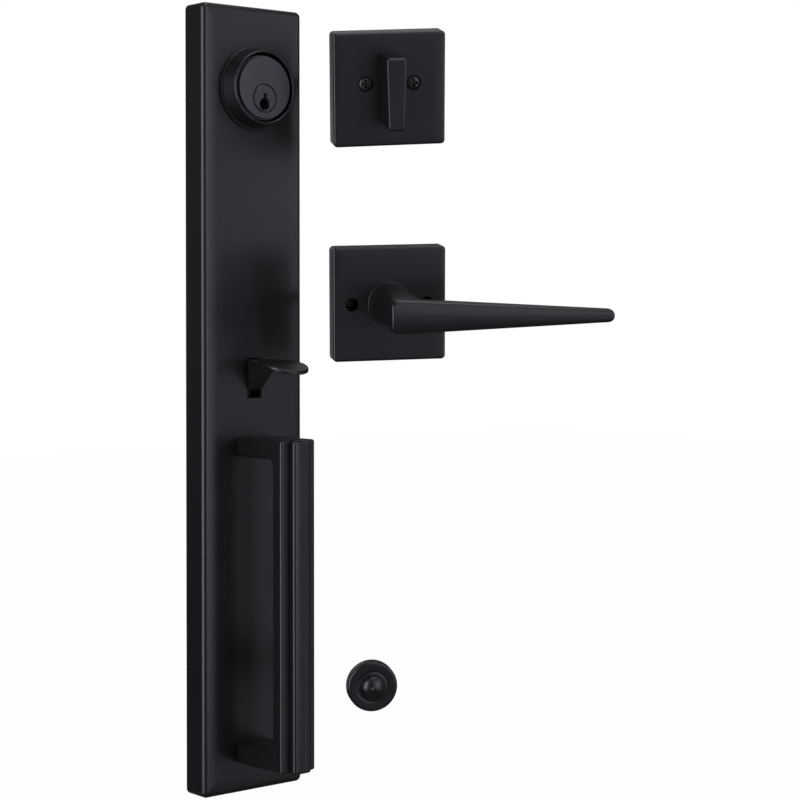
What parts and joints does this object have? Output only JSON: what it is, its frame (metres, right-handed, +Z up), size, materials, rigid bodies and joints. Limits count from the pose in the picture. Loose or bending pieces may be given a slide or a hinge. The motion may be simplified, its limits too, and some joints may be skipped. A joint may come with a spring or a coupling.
{
  "type": "entry door handleset",
  "caption": "Full-plate entry door handleset with keyed cylinder, thumb piece and pull grip outside, and a deadbolt turn, lever and finial trim inside.",
  "frame": {"origin": "centre of the tall outside plate's back face, on the door's outside face", "axes": "+Z up along the tall plate, +Y out of its back into the door, fronts face -Y"},
  "size_m": [0.1679, 0.232, 0.473],
  "materials": {
    "satin_black": "satin",
    "cylinder_face": "satin",
    "black_screws": "satin oxide",
    "plated_steel": "zinc plated",
    "spring_steel": "drawn wire and stamped rings"
  },
  "bodies": {
    "set": {"escutcheon": "satin_black", "cylinder_collar": "satin_black", "cylinder_body": "cylinder_face", "thumb_pin": "plated_steel", "thumb_spring": "spring_steel", "hub_bracket": "plated_steel", "bracket_screws": "plated_steel", "latch_posts": "plated_steel", "grip": "satin_black", "grip_screw": "plated_steel", "grip_post": "plated_steel", "deadbolt_rosette": "satin_black", "deadbolt_screws": "black_screws", "lever_rosette": "satin_black", "neck_ring": "satin_black", "lever_spring": "spring_steel", "spring_cage": "plated_steel", "lever_screws": "black_screws", "finial_cap": "satin_black", "finial_bolt": "satin_black"},
    "plug": {"key_plug": "satin_black", "plug_clip": "spring_steel", "tailpiece": "plated_steel"},
    "thumb": {"thumb_piece": "satin_black"},
    "hub": {"lift_hub": "plated_steel"},
    "turn": {"thumbturn": "satin_black", "turn_spindle": "plated_steel", "turn_clip": "spring_steel"},
    "lever": {"lever": "satin_black", "grub_screw": "plated_steel", "lever_spindle": "plated_steel", "lever_hub": "plated_steel", "lever_clip": "spring_steel"}
  },
  "joints": [
    {"name": "key_turn", "type": "hinge", "parent": "set", "child": "plug", "pos_m": [0, -0.019, 0.1805], "axis": [0, 1, 0], "range_deg": [-90, 90]},
    {"name": "thumb_press", "type": "hinge", "parent": "set", "child": "thumb", "pos_m": [0, -0.012, 0.018], "axis": [1, 0, 0], "range_deg": [0, 22], "stiffness_Nm_per_rad": 0.5, "springref_deg": -20.05},
    {"name": "hub_turn", "type": "hinge", "parent": "set", "child": "hub", "pos_m": [0, -0.008, 0.0405], "axis": [0, -1, 0], "range_deg": [0, 28]},
    {"name": "turn_turn", "type": "hinge", "parent": "set", "child": "turn", "pos_m": [0.05468, -0.08115, 0.18541], "axis": [0.448, 0.8574, 0.2532], "range_deg": [-90, 90]},
    {"name": "lever_turn", "type": "hinge", "parent": "set", "child": "lever", "pos_m": [0.04947, -0.0874, 0.05774], "axis": [0.4641, 0.8765, 0.1277], "range_deg": [-45, 45], "stiffness_Nm_per_rad": 2.5, "springref_deg": -2.86}
  ],
  "couplings": [
    {"joint": "hub_turn", "follows": "thumb_press", "ratio": 1.25}
  ]
}
